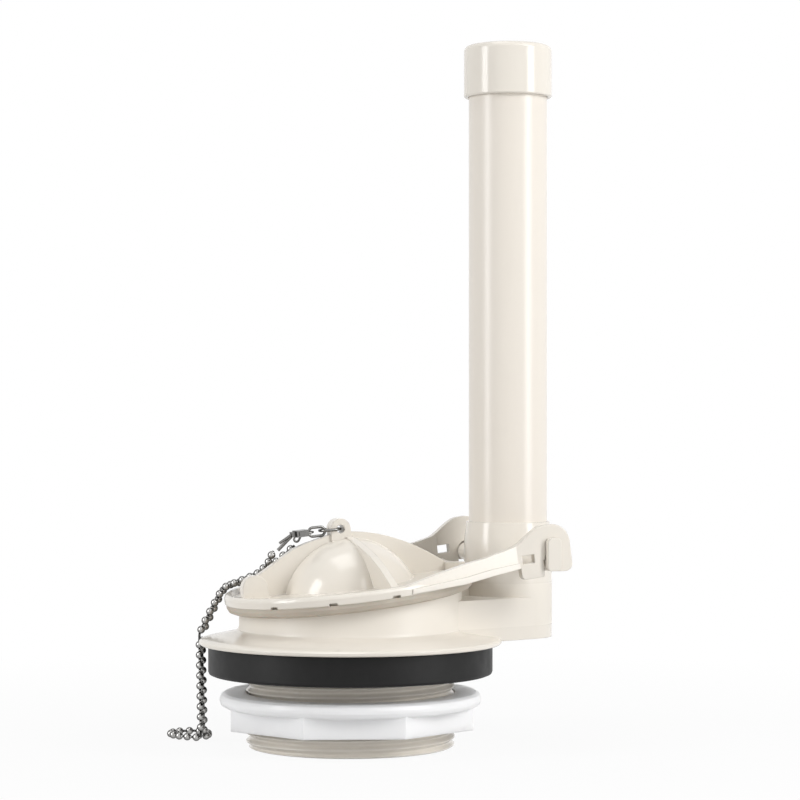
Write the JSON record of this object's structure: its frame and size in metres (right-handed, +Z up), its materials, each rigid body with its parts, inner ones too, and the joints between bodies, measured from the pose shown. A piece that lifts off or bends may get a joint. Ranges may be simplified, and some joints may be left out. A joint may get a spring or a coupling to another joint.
{
  "type": "toilet flush valve",
  "caption": "Toilet tank flush valve with a tilted hinged flapper, overflow tube and cap, thick tank gasket, flanged octagon lock nut and bead lift chain",
  "frame": {"origin": "middle of the outlet at the shank's lower end", "axes": "Z is up along the drain, X runs from the drain to the overflow tube, and the flapper's pins lie along Y"},
  "size_m": [0.1479, 0.1208, 0.2834],
  "materials": {
    "bone_plastic": "satin moulded",
    "bone_pipe": "smooth drawn pipe",
    "black_rubber": "matt",
    "white_plastic": "translucent moulded",
    "seal_rubber": "soft matt",
    "chain_steel": "bright stainless"
  },
  "bodies": {
    "valve": {"valve_body": "bone_plastic", "overflow_tube": "bone_pipe", "overflow_cap": "bone_plastic", "tank_gasket": "black_rubber"},
    "nut": {"lock_nut": "white_plastic"},
    "flapper": {"flapper_frame": "bone_plastic", "flapper_seal": "seal_rubber", "seal_retainer": "bone_plastic", "eye_hook": "chain_steel", "chain_ring": "chain_steel", "snap_clip": "chain_steel", "clip_wire": "chain_steel", "end_link": "chain_steel", "chain_upper_a": "chain_steel", "chain_upper_b": "chain_steel"},
    "chain_hang": {"chain_drop_a": "chain_steel", "chain_drop_b": "chain_steel"},
    "chain_loop": {"chain_tail": "chain_steel"}
  },
  "joints": [
    {"name": "nut_travel", "type": "slide", "parent": "valve", "child": "nut", "axis": [0, 0, 1], "range_m": [-0.006, 0.0068]},
    {"name": "flapper_hinge", "type": "hinge", "parent": "valve", "child": "flapper", "pos_m": [0.0686, 0, 0.0744], "axis": [0, 1, 0], "range_deg": [0, 48]},
    {"name": "chain_swing", "type": "hinge", "parent": "flapper", "child": "chain_hang", "pos_m": [-0.0511, 0.036, 0.0434], "axis": [0, 1, 0], "range_deg": [-48, 0]},
    {"name": "chain_fall", "type": "hinge", "parent": "chain_hang", "child": "chain_loop", "pos_m": [-0.0504, 0.0357, 0.0017], "axis": [1, 0, 0], "range_deg": [-72, 0]}
  ],
  "couplings": [
    {"joint": "chain_swing", "follows": "flapper_hinge", "ratio": -1},
    {"joint": "chain_fall", "follows": "flapper_hinge", "ratio": -1.5}
  ]
}
